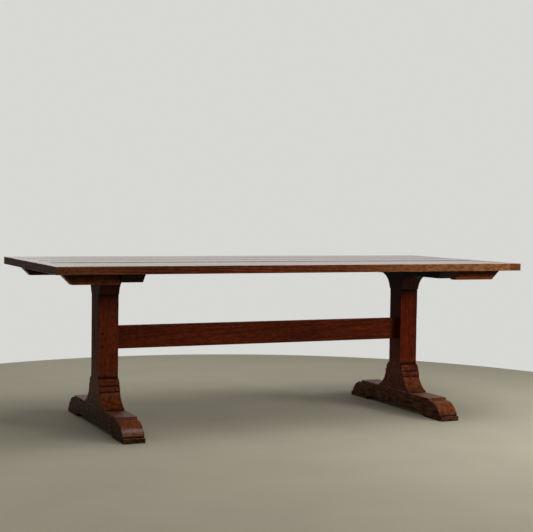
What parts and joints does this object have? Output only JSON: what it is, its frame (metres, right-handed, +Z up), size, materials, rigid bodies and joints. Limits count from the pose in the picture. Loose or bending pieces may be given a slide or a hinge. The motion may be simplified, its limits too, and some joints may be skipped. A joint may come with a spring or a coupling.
{
  "type": "trestle table",
  "caption": "Long trestle dining table with a boarded top, breadboard ends, two moulded posts on sledge feet and a stretcher rail.",
  "frame": {"origin": "on the floor under the middle of the top", "axes": "+X along the table, +Y across it towards the back, +Z up"},
  "size_m": [2.3, 1, 0.76],
  "materials": {
    "top_wood": "varnished dark red-brown hardwood, boards along the table",
    "trestle_wood": "varnished dark red-brown hardwood",
    "peg_wood": "varnished hardwood, end grain showing",
    "screw_steel": "dulled steel"
  },
  "bodies": {
    "root": {"batten_back_left": "trestle_wood", "batten_back_right": "trestle_wood", "batten_front_left": "trestle_wood", "batten_front_right": "trestle_wood", "batten_screws_left": "screw_steel", "batten_screws_right": "screw_steel", "bearer_left": "trestle_wood", "bearer_right": "trestle_wood", "bearer_screws_left": "screw_steel", "bearer_screws_right": "screw_steel", "breadboard_end_left": "top_wood", "breadboard_end_right": "top_wood", "breadboard_pegs_left": "peg_wood", "breadboard_pegs_right": "peg_wood", "foot_left": "trestle_wood", "foot_right": "trestle_wood", "foot_wedges_left": "peg_wood", "foot_wedges_right": "peg_wood", "head_wedges_left": "peg_wood", "head_wedges_right": "peg_wood", "post_left": "trestle_wood", "post_right": "trestle_wood", "stretcher": "trestle_wood", "stretcher_pegs_left": "peg_wood", "stretcher_pegs_right": "peg_wood", "top_board_back": "top_wood", "top_board_front": "top_wood", "top_board_second": "top_wood", "top_board_third": "top_wood"}
  },
  "joints": []
}
